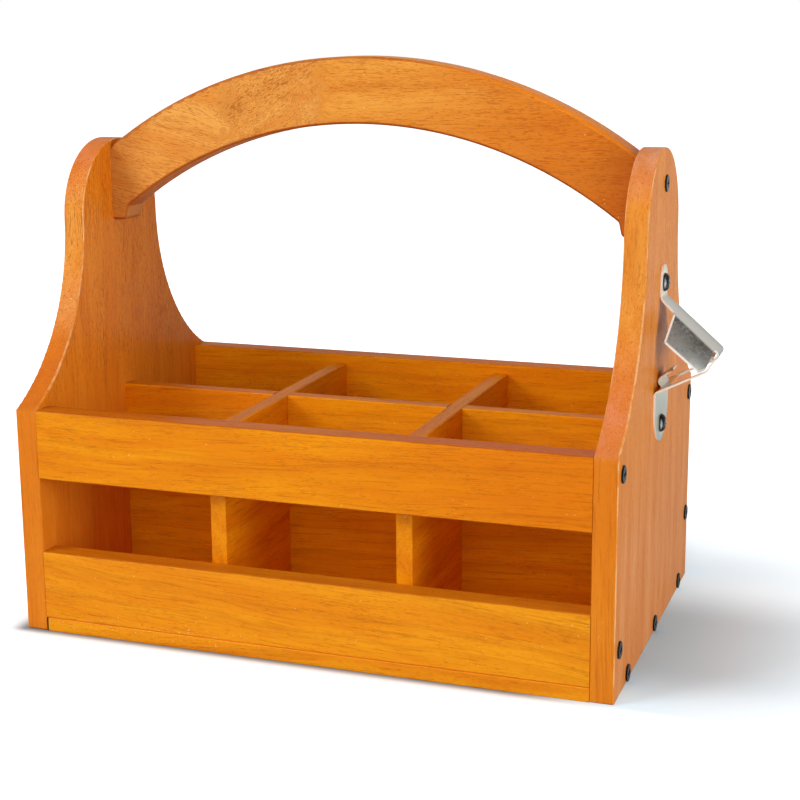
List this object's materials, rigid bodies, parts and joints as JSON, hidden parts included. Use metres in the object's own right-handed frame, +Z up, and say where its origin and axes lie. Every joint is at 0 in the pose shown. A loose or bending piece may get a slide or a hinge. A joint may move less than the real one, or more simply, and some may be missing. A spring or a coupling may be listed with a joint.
{
  "type": "bottle carrier",
  "caption": "Wooden carrier for beer bottles, with arched end boards, an arched handle, lapped dividers and a folded steel opener on one end.",
  "frame": {"origin": "on the ground, under the middle of the box", "axes": "+X along the carrier to the end board with the opener, -Y to the front, +Z up"},
  "size_m": [0.3339, 0.188, 0.2855],
  "materials": {
    "wood": "stained and lacquered, semi-gloss",
    "opener_steel": "satin nickel",
    "screw_steel": "black, semi-gloss"
  },
  "bodies": {
    "root": {"left_end_board": "wood", "right_end_board": "wood", "handle": "wood", "front_upper_rail": "wood", "front_lower_rail": "wood", "rear_upper_rail": "wood", "rear_lower_rail": "wood", "bottom_board": "wood", "long_divider": "wood", "left_cross_divider": "wood", "right_cross_divider": "wood", "bottle_opener": "opener_steel", "opener_upper_screw": "screw_steel", "opener_lower_screw": "screw_steel", "left_handle_screw": "screw_steel", "left_rail_screws": "screw_steel", "left_base_screws": "screw_steel", "right_handle_screw": "screw_steel", "right_rail_screws": "screw_steel", "right_base_screws": "screw_steel"}
  },
  "joints": []
}
